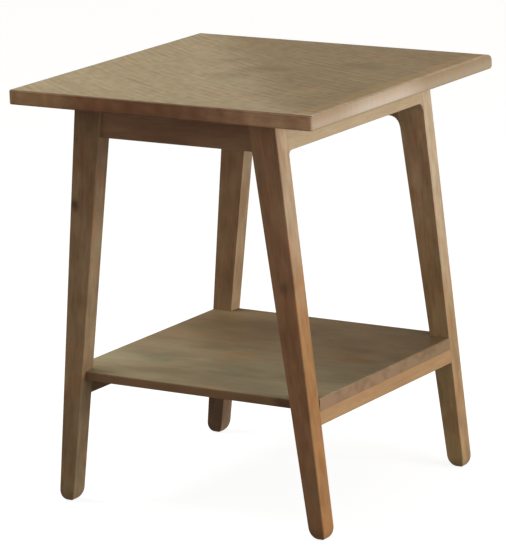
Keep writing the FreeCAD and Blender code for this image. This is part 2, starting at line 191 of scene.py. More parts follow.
def make_lamp(name, place, power, size):
    """A square area lamp that looks at the middle of the table."""
    lamp = bpy.data.lights.new(name, "AREA")
    lamp.energy = power
    lamp.size = size
    item = bpy.data.objects.new(name, lamp)
    item.location = place
    item.rotation_mode = "QUATERNION"
    item.rotation_quaternion = (table_middle - Vector(place)).to_track_quat("-Z", "Y")
    bpy.context.scene.collection.objects.link(item)
    print("lamp", name, "at", place)


make_world()
make_lamp("window", **WINDOW)
make_lamp("skylight", **SKYLIGHT)

# %% [markdown]
# The floor is plain and white to the eye but grey to the light, so that it throws little back on
# to the shaded front of the table. With white paint alone, it would look white only under so much
# light that the table looked pale too. So one part of its colour is real paint, which keeps the
# soft shadow under the feet, and the rest is a glow.

# %% Floor
FLOOR_SIZE = 40.0
FLOOR_PAINT = 0.27
FLOOR_GLOW = 0.885
FLOOR_BOUNCE = 0.20


def floor_material():
    """Bright paint for the eye, and dull paint for the light."""
    material, tree = new_tree("floor_paint")
    paint = put(tree, "BsdfDiffuse", {"Color": grey(FLOOR_PAINT)})
    glow = put(tree, "Emission", {"Color": grey(FLOOR_GLOW)})
    bright = put(tree, "AddShader", {0: paint.outputs[0], 1: glow.outputs[0]})
    dull = put(tree, "BsdfDiffuse", {"Color": grey(FLOOR_BOUNCE)})
    choice = {0: seen_directly(tree), 1: dull.outputs[0], 2: bright.outputs[0]}
    put(tree, "OutputMaterial", {"Surface": put(tree, "MixShader", choice).outputs[0]})
    return material


def make_floor():
    """One large square, which is stage and not a piece of the table."""
    half = FLOOR_SIZE / 2
    corners = [(-half, -half, 0), (half, -half, 0), (half, half, 0), (-half, half, 0)]
    mesh = bpy.data.meshes.new("floor")
    mesh.from_pydata(corners, [], [(0, 1, 2, 3)])
    mesh.materials.append(floor_material())
    floor = bpy.data.objects.new("floor", mesh)
    bpy.context.scene.collection.objects.link(floor)


make_floor()
print("floor", FLOOR_SIZE, "m square")

# %% [markdown]
# Wood is the same stuff all the way through. An image of it, wrapped round a board, would break at
# every corner, so the figure is worked out in space, and an edge shows the same grain as the face
# beside it. Two measures of the table come first: where a point lies, and which way its face looks.

# %% Measures of the table
ALONG_X = (1, 0, 0)
ALONG_Y = (0, 1, 0)
UPRIGHT = (0, 0, 1)


def table_point(tree):
    """A point of the table, in metres."""
    return put(tree, "TexCoord").outputs["Object"]


def measure(tree, axis):
    """How far a point lies along X, Y or Z of the table, in metres."""
    return put(tree, "SeparateXYZ", {0: table_point(tree)}).outputs[axis]


def look(tree, axis):
    """How much a face looks along X, Y or Z of the table, from -1 to 1."""
    direction = put(tree, "TexCoord").outputs["Normal"]
    return put(tree, "SeparateXYZ", {0: direction}).outputs[axis]


# %% [markdown]
# Every piece then gets its own measure: how far along the grain a point lies, how far across, and
# how far through. A turned mapping node could give that for one board at a time, but a raked leg
# would need its angles worked out, and here the direction of its grain is enough. A board that is
# cut from another tree starts somewhere else in that space, which is what `seed` does. Grain is
# seldom quite straight, and `sweep` gives its slope and its bend across the board. A grain noise
# changes so often in a metre along the grain, and so often across.

# %% Measuring along the grain
SEED_STEP = Vector((1.7, 0.31, 0.23))


def grain_space(tree, along, across, seed, sweep=(0.0, 0.0)):
    """A point of the piece as (along the grain, across it, through it), in metres."""
    first = Vector(along).normalized()
    second = (Vector(across) - Vector(across).project(first)).normalized()
    reach = []
    for axis in (first, second, first.cross(second)):
        reach.append(reckon_places(tree, "DOT_PRODUCT", table_point(tree), axis))
    slope, bend = sweep
    lean = reckon(tree, "MULTIPLY_ADD", reach[0], bend, slope)
    bent = reckon(tree, "MULTIPLY_ADD", lean, reach[0], reach[1])
    place = put(tree, "CombineXYZ", {0: reach[0], 1: bent, 2: reach[2]}).outputs[0]
    return reckon_places(tree, "ADD", place, SEED_STEP * seed)


def grain_noise(tree, place, often, detail=2.0, roughness=0.5):
    """A noise stretched along the grain; often is how often it changes along and across."""
    along, across = often
    stretched = reckon_places(tree, "MULTIPLY", place, (along, across, across))
    return noise(tree, stretched, detail=detail, roughness=roughness)


# %% [markdown]
# Seven things make the figure of this wood. Clouds are slow changes of tone where the stain took
# more or less. Rings are the yearly growth; a board cuts them at a slant, so they show as wide,
# faint stripes. Waves are the even ripples that the growing tree pressed into its fibres, and they
# come and go. Streaks are broken lines along the grain, fibres are finer ones, and pores are short
# dark dashes that the oil has filled. Flecks are short patches that break the ripples up, and only
# the top shows them.
#
# One texture node with more detail would give all sizes the same strength and the same shape. With
# a layer for each, every piece can hold its own share of them, which is what the weights say. Waves
# and rings are sines with a wandering start, and the rest are grain noises.

# %% The figure of the wood
RING_WIDTH = 0.017
RING_HEART = (0.0, 0.055, 0.34)
RING_WANDER = {"often": (3.5, 16), "detail": 3.0, "turns": 3.0}
WAVE_WIDTH = 0.0134
WAVE_WANDER = {"often": (13, 16), "detail": 2.0, "turns": 1.4}
WAVE_PLACES = {"often": (24, 32), "detail": 1.0}
WAVE_RISE = (0.42, 0.60)
WAVE_WEAKEST = 0.03
WAVE_STRONGEST = 0.44
GRAIN_LAYERS = {
    "streak": {"often": (24, 150), "detail": 2.0, "low": 0.30, "high": 0.70},
    "fibre": {"often": (24, 430), "detail": 4.0, "low": 0.25, "high": 0.75, "roughness": 0.6},
    "pore": {"often": (50, 1400), "detail": 1.0, "low": 0.64, "high": 0.76},
}
CLOUD_LAYER = {"detail": 2.5, "low": 0.32, "high": 0.68}
FLECK_LAYER = {"often": (65, 55), "detail": 2.0, "low": 0.30, "high": 0.70}
PLAIN_FIGURE = {"cloud": 0.32, "ring": 0.12, "wave": 0.12, "streak": 0.24, "fibre": 0.20}
BLOTCHY_FIGURE = {"cloud": 0.56, "ring": 0.06, "wave": 0.04, "streak": 0.17, "fibre": 0.17}
MOTTLED_FIGURE = {"cloud": 0.36, "ring": 0.06, "wave": 0.12, "streak": 0.22, "fibre": 0.24}


def stripes(tree, place, distance, width, wander):
    """A sine of the distance, one turn in each width, with a wandering start."""
    start = grain_noise(tree, place, wander["often"], wander["detail"])
    turns = reckon(tree, "DIVIDE", distance, width)
    turns = reckon(tree, "MULTIPLY_ADD", start, wander["turns"], turns)
    return reckon(tree, "SINE", reckon(tree, "MULTIPLY", turns, 2 * math.pi))


def wood_rings(tree, place):
    """Yearly growth round a heart that lies well outside the board."""
    heart = reckon_places(tree, "SUBTRACT", place, RING_HEART)
    level = reckon_places(tree, "MULTIPLY", heart, (0, 1, 1))
    distance = reckon_places(tree, "LENGTH", level)
    return fade(tree, stripes(tree, place, distance, RING_WIDTH, RING_WANDER), -1.0, 1.0)


def wood_waves(tree, place):
    """Even ripples side by side across the grain, strong in some places and gone in others."""
    across = put(tree, "SeparateXYZ", {0: place}).outputs["Y"]
    wave = stripes(tree, place, across, WAVE_WIDTH, WAVE_WANDER)
    places = grain_noise(tree, place, **WAVE_PLACES)
    strength = fade(tree, places, *WAVE_RISE, WAVE_WEAKEST, WAVE_STRONGEST)
    return reckon(tree, "MULTIPLY_ADD", wave, strength, 0.5)


def layer(tree, place, often, detail, low, high, roughness=0.5):
    """A grain noise as a layer that goes from 0 to 1."""
    return fade(tree, grain_noise(tree, place, often, detail, roughness), low, high)


def wood_figure(tree, place, clouds):
    """All layers but the flecks; clouds is how often clouds change along and across."""
    figure = {name: layer(tree, place, **shape) for name, shape in GRAIN_LAYERS.items()}
    figure["cloud"] = layer(tree, place, clouds, **CLOUD_LAYER)
    figure["ring"] = wood_rings(tree, place)
    figure["wave"] = wood_waves(tree, place)
    return figure


# %% [markdown]
# The stain gives each face one middle tone, and the figure makes it deeper or paler. A colour ramp
# would need new colours for every tone. Instead the figure multiplies the tone, and by a colour and
# not a number, because deep growth is also redder than pale growth. Now and then a patch leans to
# orange or to green, and pores darken what is under them. Where a board is cut across its fibres,
# on its two ends, the figure is faint.

# %% From figure to colour
DEEP_GROWTH = (0.74, 0.69, 0.66, 1)
PALE_GROWTH = (1.26, 1.31, 1.34, 1)
ORANGE_PATCH = (1.16, 0.92, 0.76, 1)
GREEN_PATCH = (0.88, 0.98, 0.90, 1)
PATCH_SPREAD = (9, 40)
PATCH_START = 0.50
PATCH_DEPTH = 0.18
PORE_COLOUR = (0.045, 0.028, 0.017, 1)
PORE_STRENGTH = 0.28
END_GRAIN_TURN = (0.6, 0.9)
END_GRAIN_CONTRAST = 0.15


def stain(tree, place, figure, tone, contrast, patches, weights=PLAIN_FIGURE, spread=PATCH_SPREAD):
    """The stained colour of a tone, after the figure, the patches and the pores."""
    share = -0.5
    for name, weight in weights.items():
        share = reckon(tree, "MULTIPLY_ADD", figure[name], weight, share)
    share = reckon(tree, "MULTIPLY_ADD", share, contrast, 0.5)
    colour = blend(tree, 1.0, tone, blend(tree, share, DEEP_GROWTH, PALE_GROWTH), "MULTIPLY")
    drift = grain_noise(tree, place, spread, detail=5.0, roughness=0.7)
    orange = fade(tree, drift, PATCH_START, PATCH_START + PATCH_DEPTH, end=patches)
    green = fade(tree, drift, PATCH_START, PATCH_START - PATCH_DEPTH, end=patches)
    colour = blend(tree, orange, colour, ORANGE_PATCH, "MULTIPLY")
    colour = blend(tree, green, colour, GREEN_PATCH, "MULTIPLY")
    pores = reckon(tree, "MULTIPLY", figure["pore"], PORE_STRENGTH)
    return blend(tree, pores, colour, PORE_COLOUR)


def faint_on_ends(tree, contrast):
    """The contrast of the figure on a board along X, which fades on its two ends."""
    sideways = reckon(tree, "ABSOLUTE", look(tree, "X"))
    return fade(tree, sideways, *END_GRAIN_TURN, contrast, contrast * END_GRAIN_CONTRAST)


# %% [markdown]
# Each way that the faces look has its own tone, and the three differ partly as painted light and
# shade: the fronts, which lie in the shade, are a deeper red, the sides toward the window a paler
# tan, and the faces that look up an olive grey that holds a painted sheen. Each side could have a
# material of its own, but then the tone would jump where an edge is rounded, so the direction of
# the face mixes the three tones.
#
# Along a piece a tone also drifts, and here and there it has a mark, such as a knot, a rub or a
# spot where the stain pooled. Borders are never clean, so a noise makes them ragged.

# %% Tones by direction and place
FACE_TURN = (0.45, 0.85)
BORDER_NOISE = 10.0
MARK_NOISE = 1.3
MARK_RAGGEDNESS = 0.8
MARK_BORDER = (1.5, 0.5)


# The three tones are partly painted light and shade on the faces.
def facing(tree, front, side, up):
    """Mix three tones by how much a face looks sideways or up."""
    sideways = fade(tree, reckon(tree, "ABSOLUTE", look(tree, "X")), *FACE_TURN)
    upward = fade(tree, look(tree, "Z"), *FACE_TURN)
    return blend(tree, upward, blend(tree, sideways, front, side), up)


def ragged(tree, distance, raggedness):
    """A distance that a noise makes longer here and shorter there."""
    wander = noise(tree, table_point(tree), BORDER_NOISE, detail=3.0)
    wander = reckon(tree, "SUBTRACT", wander, 0.5)
    return reckon(tree, "MULTIPLY_ADD", wander, raggedness, distance)


def mark(tree, tone, centre, reach, change):
    """Multiply a tone by a change round one point of the table, with a ragged border."""
    offset = reckon_places(tree, "SUBTRACT", table_point(tree), centre)
    offset = reckon_places(tree, "DIVIDE", offset, reach)
    wander = noise(tree, offset, MARK_NOISE, detail=3.0)
    distance = reckon_places(tree, "LENGTH", offset)
    distance = reckon(tree, "MULTIPLY_ADD", wander, MARK_RAGGEDNESS, distance)
    return blend(tree, fade(tree, distance, *MARK_BORDER), tone, change, "MULTIPLY")


# %% [markdown]
# Sharp corners never stay sharp. Hands and cloths wear the stain thin there, so edges are a little
# paler and smoother. The wear could be painted on the corners of the mesh, but it would be as wide
# as the mesh is coarse. A bevel node finds the edges by itself: it looks a millimetre or two round
# each point and leans the surface over the edge, and where that lean differs from the flat face,
# there is an edge.

# %% Worn edges
WEAR_WIDTH = 0.0014
WEAR_SAMPLES = 6
WEAR_COLOUR = (0.50, 0.36, 0.23, 1)
WEAR_STRENGTH = 0.22
WEAR_PATCHES = (30, 90)
WEAR_RISE = (0.35, 0.65)
WEAR_LEAST = 0.3
FLAT_TO_EDGE = (0.995, 0.93)


def edge_wear(tree, place):
    """How worn a point is, and the softened direction of the surface."""
    soft = put(tree, "Bevel", {"Radius": WEAR_WIDTH}, samples=WEAR_SAMPLES).outputs["Normal"]
    flat = put(tree, "NewGeometry").outputs["True Normal"]
    edge = fade(tree, reckon_places(tree, "DOT_PRODUCT", soft, flat), *FLAT_TO_EDGE)
    patchy = fade(tree, grain_noise(tree, place, WEAR_PATCHES), *WEAR_RISE, start=WEAR_LEAST)
    return reckon(tree, "MULTIPLY", edge, patchy), soft


# %% [markdown]
# The oil leaves a satin surface: dull enough that the window gives no hard highlight, but with a
# soft sheen when the wood is seen at a low angle. A clear coat would look like varnish, so the
# gloss comes from the roughness alone. Pores are tiny hollows and fibres tiny ridges, so the same
# layers drive the roughness and the bump.

# %% The oiled finish
SATIN = 0.68
SHEEN = 0.10
FIBRE_ROUGHNESS = 0.10
PORE_ROUGHNESS = 0.20
FIBRE_HEIGHT = 0.5
PORE_HEIGHT = -0.8
BUMP_STRENGTH = 0.5
BUMP_DEPTH = 0.00022


def oiled(tree, colour, figure, place, satin=SATIN):
    """Join colour, wear, gloss and bump in one finish."""
    worn, soft = edge_wear(tree, place)
    colour = blend(tree, reckon(tree, "MULTIPLY", worn, WEAR_STRENGTH), colour, WEAR_COLOUR)
    smooth = satin - FIBRE_ROUGHNESS / 2
    rough = reckon(tree, "MULTIPLY_ADD", figure["fibre"], FIBRE_ROUGHNESS, smooth)
    rough = reckon(tree, "MULTIPLY_ADD", figure["pore"], PORE_ROUGHNESS, rough)
    height = reckon(tree, "MULTIPLY", figure["fibre"], FIBRE_HEIGHT)
    height = reckon(tree, "MULTIPLY_ADD", figure["pore"], PORE_HEIGHT, height)
    relief = {"Strength": BUMP_STRENGTH, "Distance": BUMP_DEPTH, "Height": height, "Normal": soft}
    finish = put(tree, "BsdfPrincipled", {
        "Base Color": colour,
        "Roughness": rough,
        "Specular IOR Level": SHEEN,
        "Normal": put(tree, "Bump", relief).outputs[0],
    })
    put(tree, "OutputMaterial", {"Surface": finish.outputs[0]})


def wear(node, material):
    """Give a node of the table its material."""
    mesh = nodes[node].data
    mesh.materials.clear()
    mesh.materials.append(material)
    print("%-26s %s" % (node, material.name))


# %% [markdown]
# Simple boards come first: the aprons and the rails. Their grain runs along their length. They are
# narrow and lie in the shade, so a change of tone along them would be lost, and one tone for each
# is enough. The left shelf rail lies deepest in the shade, and its dark tone is painted shade.

# %% Aprons and rails
BOARD_CLOUDS = (9, 30)
BOARD_PATCHES = 0.2
APRON_TONE = (0.372, 0.216, 0.128, 1)
APRON_CONTRAST = 1.0
SIDE_RAIL_TONE = (0.465, 0.353, 0.222, 1)
SIDE_RAIL_CONTRAST = 0.5
# The dark tone of the left shelf rail is painted shade under the shelf.
SHELF_RAIL_TONES = {
    "left_shelf_rail": (0.200, 0.122, 0.066, 1),
    "right_shelf_rail": (0.366, 0.219, 0.108, 1),
}
SHELF_RAIL_CONTRAST = 0.7


def board_wood(node, along, seed, tone, contrast, weights=PLAIN_FIGURE):
    """Oiled wood of one tone, for a board that stands on its edge."""
    material, tree = new_tree(node + "_wood")
    place = grain_space(tree, along, UPRIGHT, seed)
    figure = wood_figure(tree, place, BOARD_CLOUDS)
    colour = stain(tree, place, figure, tone, contrast, BOARD_PATCHES, weights)
    oiled(tree, colour, figure, place)
    wear(node, material)


for seed, node in enumerate(("front_apron", "back_apron"), 1):
    board_wood(node, ALONG_X, seed, APRON_TONE, APRON_CONTRAST, BLOTCHY_FIGURE)
for seed, node in enumerate(("left_side_rail", "right_side_rail"), 3):
    board_wood(node, ALONG_Y, seed, SIDE_RAIL_TONE, SIDE_RAIL_CONTRAST)
for seed, (node, tone) in enumerate(SHELF_RAIL_TONES.items(), 5):
    board_wood(node, ALONG_Y, seed, tone, SHELF_RAIL_CONTRAST)

# %% [markdown]
# The legs were sawn from four planks, so each has its own red or olive brown in front. The outer
# side of a leg is tan near the top and turns to amber below the middle; the tan is partly painted
# sheen from the window. The inner side stays plain. A ramp could hold many steps, but the real
# change is slow and single, so each face of a leg has just its low tone, its high tone, and the
# heights between which the one turns into the other.
#
# The two front legs carry a small knot each, a hard dark one and a soft one. The back left foot is
# painted darker as the shadow under the shelf. The front feet are a little darker and the back
# right foot paler.

# %% Tones of the legs
FRONT_RISE = (0.20, 0.46)
INNER_RISE = (0.32, 0.46)
# The high outer tones are partly painted sheen from the window.
LEG_TONES = {
    "leg_front_left": {
        "front": ((0.326, 0.210, 0.114, 1), (0.315, 0.198, 0.110, 1), FRONT_RISE),
        "outer": ((0.340, 0.195, 0.087, 1), (0.460, 0.342, 0.226, 1), (0.25, 0.44)),
        "inner": ((0.316, 0.218, 0.126, 1), (0.240, 0.152, 0.088, 1), INNER_RISE),
    },
    "leg_front_right": {
        "front": ((0.312, 0.163, 0.084, 1), (0.388, 0.222, 0.127, 1), (0.27, 0.49)),
        "outer": ((0.340, 0.173, 0.070, 1), (0.448, 0.318, 0.205, 1), (0.235, 0.44)),
        "inner": ((0.318, 0.214, 0.122, 1), (0.322, 0.218, 0.126, 1), INNER_RISE),
    },
    "leg_back_left": {
        "front": ((0.262, 0.156, 0.084, 1), (0.286, 0.172, 0.092, 1), FRONT_RISE),
        "outer": ((0.340, 0.195, 0.087, 1), (0.460, 0.342, 0.226, 1), (0.25, 0.44)),
        "inner": ((0.395, 0.260, 0.151, 1), (0.318, 0.234, 0.152, 1), (0.34, 0.40)),
    },
    "leg_back_right": {
        "front": ((0.430, 0.282, 0.146, 1), (0.580, 0.380, 0.230, 1), FRONT_RISE),
        "outer": ((0.335, 0.212, 0.110, 1), (0.475, 0.358, 0.234, 1), (0.17, 0.37)),
        "inner": ((0.350, 0.224, 0.126, 1), (0.330, 0.224, 0.134, 1), INNER_RISE),
    },
}
KNOT_REACH = (0.008, 0.012, 0.012)
KNOTS = {
    "leg_front_left": ((-0.156, -0.189, 0.399), KNOT_REACH, (0.34, 0.34, 0.36, 1)),
    "leg_front_right": ((0.155, -0.189, 0.321), KNOT_REACH, (0.62, 0.66, 0.72, 1)),
}
FOOT_CENTRE = (0.0, 0.0, 0.040)
FOOT_REACH = (1.0, 1.0, 0.115)
# The back left foot is darkened as painted shadow under the shelf.
FOOT_CHANGES = {
    "leg_front_left": {"front": (0.86, 0.88, 0.86, 1), "inner": (1.08, 1.12, 1.12, 1)},
    "leg_front_right": {"front": (0.88, 0.92, 0.90, 1)},
    "leg_back_left": {
        "front": (0.43, 0.41, 0.46, 1),
        "outer": (0.60, 0.58, 0.62, 1),
        "inner": (0.62, 0.58, 0.60, 1),
    },
    "leg_back_right": {"front": (1.24, 1.25, 1.20, 1)},
}


def leg_tone(tree, node, side):
    """The tone of a leg by face and height, with its foot and its knot."""
    height = measure(tree, "Z")
    tones = {}
    for face, (low, high, rise) in LEG_TONES[node].items():
        tones[face] = blend(tree, fade(tree, height, *rise), low, high)
    for face, change in FOOT_CHANGES[node].items():
        tones[face] = mark(tree, tones[face], FOOT_CENTRE, FOOT_REACH, change)
    outward = fade(tree, reckon(tree, "MULTIPLY", look(tree, "X"), side), *FACE_TURN)
    inward = fade(tree, reckon(tree, "MULTIPLY", look(tree, "X"), -side), *FACE_TURN)
    tone = blend(tree, outward, tones["front"], tones["outer"])
    tone = blend(tree, inward, tone, tones["inner"])
    return mark(tree, tone, *KNOTS[node]) if node in KNOTS else tone


# %% [markdown]
# The grain of a leg runs down its rake, so the board lines lean outward with the leg itself. This
# wood is mottled: its clouds and its orange and green patches are short. One function makes all
# four legs, and only the seed, the lean and the tones differ.

# %% Legs
LEG_LEAN = 0.101
LEG_CLOUDS = (24, 46)
LEG_CONTRAST = 1.2
LEG_PATCHES = 0.6
LEG_PATCH_SPREAD = (30, 60)


def leg_wood(node, seed):
    """Oiled wood for one leg."""
    material, tree = new_tree(node + "_wood")
    side = -1 if node.endswith("left") else 1
    place = grain_space(tree, (side * LEG_LEAN, 0, -1), ALONG_Y, seed)
    figure = wood_figure(tree, place, LEG_CLOUDS)
    tone = leg_tone(tree, node, side)
    colour = stain(
        tree, place, figure, tone, LEG_CONTRAST, LEG_PATCHES, MOTTLED_FIGURE, LEG_PATCH_SPREAD
    )
    oiled(tree, colour, figure, place)
    wear(node, material)


for seed, node in enumerate(LEG_TONES, 11):
    leg_wood(node, seed)

# %% [markdown]
# The upper face of the top is pale toward the front left and clouded toward the back right, and
# `TOP_CLOUD_TURN` slants the border between the two. The stain pooled in four places inside the
# cloud, and one place was rubbed pale. Near the right hand edge a strip is paler and warmer. The
# rounded arris there is painted tan as light, and the one along the front is painted dark as
# shade. All places are measured from the middle of the table, so a mark runs on over a glue
# joint, as it does on a top that was stained in one go.

# %% The upper face of the top
TOP_PALE = (0.320, 0.250, 0.148, 1)
TOP_CLOUDED = (0.228, 0.166, 0.089, 1)
TOP_CLOUD_TURN = 0.9
TOP_CLOUD_BORDER = (-0.05, 0.06)
TOP_CLOUD_RAGGEDNESS = 0.14
TOP_POOLS = (
    (-0.062, 0.060, 0.550),
    (0.005, 0.022, 0.550),
    (-0.015, -0.035, 0.550),
    (0.110, 0.085, 0.550),
)
TOP_POOL_REACH = (0.044, 0.034, 1.0)
TOP_POOL_CHANGE = (0.81, 0.80, 0.77, 1)
TOP_RUB = ((0.135, -0.085, 0.550), (0.040, 0.040, 1.0), (1.16, 1.12, 1.10, 1))
TOP_STRIP = (0.192, 0.206)
TOP_STRIP_CHANGE = (1.22, 1.14, 1.06, 1)
# Painted light on the rounded right arris of the upper face.
TOP_SIDE_ARRIS = (0.2155, 0.2225)
TOP_SIDE_ARRIS_LIGHT = (0.400, 0.305, 0.205, 1)
# Painted shade on the rounded front arris of the upper face.
TOP_FRONT_ARRIS = (-0.2205, -0.2235)
TOP_FRONT_ARRIS_SHADE = (0.170, 0.104, 0.056, 1)


def top_up_tone(tree):
    """Pale to clouded on a slant, with pools, a rub, and painted light and shade on the arrises."""
    slant = reckon(tree, "MULTIPLY_ADD", measure(tree, "Y"), TOP_CLOUD_TURN, measure(tree, "X"))
    slant = ragged(tree, slant, TOP_CLOUD_RAGGEDNESS)
    tone = blend(tree, fade(tree, slant, *TOP_CLOUD_BORDER), TOP_PALE, TOP_CLOUDED)
    for pool in TOP_POOLS:
        tone = mark(tree, tone, pool, TOP_POOL_REACH, TOP_POOL_CHANGE)
    tone = mark(tree, tone, *TOP_RUB)
    along = measure(tree, "X")
    tone = blend(tree, fade(tree, along, *TOP_STRIP), tone, TOP_STRIP_CHANGE, "MULTIPLY")
    tone = blend(tree, fade(tree, along, *TOP_SIDE_ARRIS), tone, TOP_SIDE_ARRIS_LIGHT)
    front = fade(tree, measure(tree, "Y"), *TOP_FRONT_ARRIS)
    return blend(tree, front, tone, TOP_FRONT_ARRIS_SHADE)


# %% [markdown]
# The front edge of the top is deep red in the middle and paler toward its two ends, spotted, and
# painted dark as shade along its rounded upper line. On the sides the end grain shows. It carries
# a painted highlight in the front half, painted tan shading along its rounded upper line, and a
# painted shadow along its lower one, where the top meets the rail. Strips of thin mesh could carry
# these tones, but the direction of the face already tells an edge from the upper face, so the
# boards stay whole.

# %% The edges of the top
TOP_FRONT_DEEP = (0.276, 0.132, 0.070, 1)
TOP_FRONT_LEFT = (0.392, 0.231, 0.115, 1)
TOP_FRONT_RIGHT = (0.580, 0.340, 0.195, 1)
TOP_LEFT_SHARE = (-0.10, -0.16)
TOP_RIGHT_SHARE = (0.02, 0.20)
TOP_SPOT_SPREAD = (18, 60)
TOP_SPOT_BORDER = (0.44, 0.68)
TOP_SPOT_CHANGE = (0.80, 0.80, 0.84, 1)
# Painted shade along the rounded upper line of the front edge.
TOP_UPPER_LINE = (0.5462, 0.5484)
TOP_UPPER_LINE_SHADE = (0.74, 0.76, 0.80, 1)
TOP_END_FRONT = (0.445, 0.335, 0.243, 1)
TOP_END_BACK = (0.366, 0.283, 0.192, 1)
TOP_END_DRIFT = (-0.05, 0.08)
# A painted highlight on the front half of the end grain.
TOP_END_HIGHLIGHT = (0.540, 0.448, 0.362, 1)
TOP_HIGHLIGHT_FROM = (-0.17, -0.09)
TOP_HIGHLIGHT_UNTIL = (0.06, -0.02)
# Painted shading along the rounded upper line of the end grain.
TOP_END_UPPER = (0.536, 0.549)
TOP_END_UPPER_SHADE = (0.84, 0.77, 0.67, 1)
# A painted shadow along the lower line, where the top meets the side rail.
TOP_END_LOWER = (0.5345, 0.5325)
TOP_END_LOWER_SHADOW = (0.352, 0.272, 0.176, 1)


def top_front_tone(tree):
    """The front edge of the top, with painted shade along its upper line."""
    along = measure(tree, "X")
    tone = blend(tree, fade(tree, along, *TOP_LEFT_SHARE), TOP_FRONT_DEEP, TOP_FRONT_LEFT)
    tone = blend(tree, fade(tree, along, *TOP_RIGHT_SHARE), tone, TOP_FRONT_RIGHT)
    spots = grain_noise(tree, table_point(tree), TOP_SPOT_SPREAD)
    spotted = fade(tree, spots, *TOP_SPOT_BORDER)
    tone = blend(tree, spotted, tone, TOP_SPOT_CHANGE, "MULTIPLY")
    upper = fade(tree, measure(tree, "Z"), *TOP_UPPER_LINE)
    return blend(tree, upper, tone, TOP_UPPER_LINE_SHADE, "MULTIPLY")


def top_end_tone(tree):
    """The end grain of the top, with a painted highlight, painted shade and a painted shadow."""
    depth = measure(tree, "Y")
    tone = blend(tree, fade(tree, depth, *TOP_END_DRIFT), TOP_END_FRONT, TOP_END_BACK)
    end_highlight = fade(tree, depth, *TOP_HIGHLIGHT_FROM)
    end_highlight = reckon(tree, "MULTIPLY", end_highlight, fade(tree, depth, *TOP_HIGHLIGHT_UNTIL))
    tone = blend(tree, end_highlight, tone, TOP_END_HIGHLIGHT)
    height = measure(tree, "Z")
    tone = blend(tree, fade(tree, height, *TOP_END_UPPER), tone, TOP_END_UPPER_SHADE, "MULTIPLY")
    return blend(tree, fade(tree, height, *TOP_END_LOWER), tone, TOP_END_LOWER_SHADOW)


# %% [markdown]
# The boards of the top were glued up, planed and stained together. With a seed for each, their
# joints would show as hard lines, so they share one, and the figure runs on from board to board.
# Their grain slants and bends, and it is full of ripples. The narrow strip that closes the top at
# the back was cut from another board, so its joint does show.

# %% Top boards
TOP_SWEEP = (0.50, -0.56)
TOP_CLOUDS = (6, 22)
TOP_CONTRAST = 1.0
TOP_PATCHES = 0.3
WAVY_FIGURE = {
    "cloud": 0.18,
    "ring": 0.05,
    "wave": 0.37,
    "streak": 0.11,
    "fibre": 0.11,
    "fleck": 0.24,
}


def top_wood(node, seed):
    """Oiled wood for one board of the top."""
    material, tree = new_tree(node + "_wood")
    place = grain_space(tree, ALONG_X, ALONG_Y, seed, TOP_SWEEP)
    figure = wood_figure(tree, place, TOP_CLOUDS)
    figure["fleck"] = layer(tree, place, **FLECK_LAYER)
    tone = facing(tree, top_front_tone(tree), top_end_tone(tree), top_up_tone(tree))
    contrast = faint_on_ends(tree, TOP_CONTRAST)
    colour = stain(tree, place, figure, tone, contrast, TOP_PATCHES, WAVY_FIGURE)
    oiled(tree, colour, figure, place)
    wear(node, material)


for node in sorted(name for name in nodes if name.startswith("top_board")):
    top_wood(node, 21)
top_wood("top_rear_strip", 22)

# %% [markdown]
# The shelf lies under the top, and much of its shade is painted into its colour. It is palest
# along its front and deepest toward the back, and a dark cloud of painted shade lies over the back
# of its left half. Two smaller clouds, a pale patch, and a pale right end painted as window light
# lie round it, and warm and greenish spots show where the stain pooled. A painted image could hold
# them all, but a list is easier to read and to change: each mark has its centre, its reach and its
# change of tone.

# %% The upper face of the shelf
# The change from the pale front to the deep back is painted shade under the top.
SHELF_PALE = (0.312, 0.252, 0.146, 1)
SHELF_SHADED = (0.214, 0.147, 0.074, 1)
SHELF_SHADE_BORDER = (-0.10, 0.06)
SHELF_RAGGEDNESS = 0.16
SPOT_REACH = (0.042, 0.022, 1.0)
WARM_CHANGE = (1.08, 0.86, 0.70, 1)
GREEN_CHANGE = (0.86, 0.95, 0.92, 1)
# The back left cloud is painted shade, and the pale right end painted light.
SHELF_MARKS = {
    "back left painted shade": ((-0.075, 0.110, 0.178), (0.150, 0.085, 1.0), (0.70, 0.66, 0.60, 1)),
    "front left cloud": ((-0.120, -0.065, 0.178), (0.070, 0.055, 1.0), (0.80, 0.80, 0.80, 1)),
    "front right cloud": ((0.080, -0.150, 0.178), (0.065, 0.035, 1.0), (0.80, 0.78, 0.79, 1)),
    "pale rub": ((-0.110, -0.162, 0.178), (0.070, 0.022, 1.0), (1.20, 1.19, 1.18, 1)),
    "right end painted light": ((0.145, 0.042, 0.178), (0.030, 0.028, 1.0), (1.22, 1.22, 1.18, 1)),
    "middle warm spot": ((-0.022, -0.030, 0.178), SPOT_REACH, WARM_CHANGE),
    "right warm spot": ((0.128, 0.018, 0.178), SPOT_REACH, WARM_CHANGE),
    "left green spot": ((-0.110, -0.085, 0.178), SPOT_REACH, GREEN_CHANGE),
    "front green spot": ((0.015, -0.110, 0.178), SPOT_REACH, GREEN_CHANGE),
}


def shelf_up_tone(tree):
    """Painted shade from the pale front to the deep back, with all the marks."""
    depth = ragged(tree, measure(tree, "Y"), SHELF_RAGGEDNESS)
    tone = blend(tree, fade(tree, depth, *SHELF_SHADE_BORDER), SHELF_PALE, SHELF_SHADED)
    for shelf_mark in SHELF_MARKS.values():
        tone = mark(tree, tone, *shelf_mark)
    return tone


# %% [markdown]
# The front edge of the shelf is dark brown, and darker still where it meets the two front legs,
# where painted shadow lies in the corners. Its end grain is paler toward the front and has soft
# spots. Marks and a noise are enough for that, just as on the upper face.

# %% The edges of the shelf
SHELF_FRONT_TONE = (0.242, 0.138, 0.073, 1)
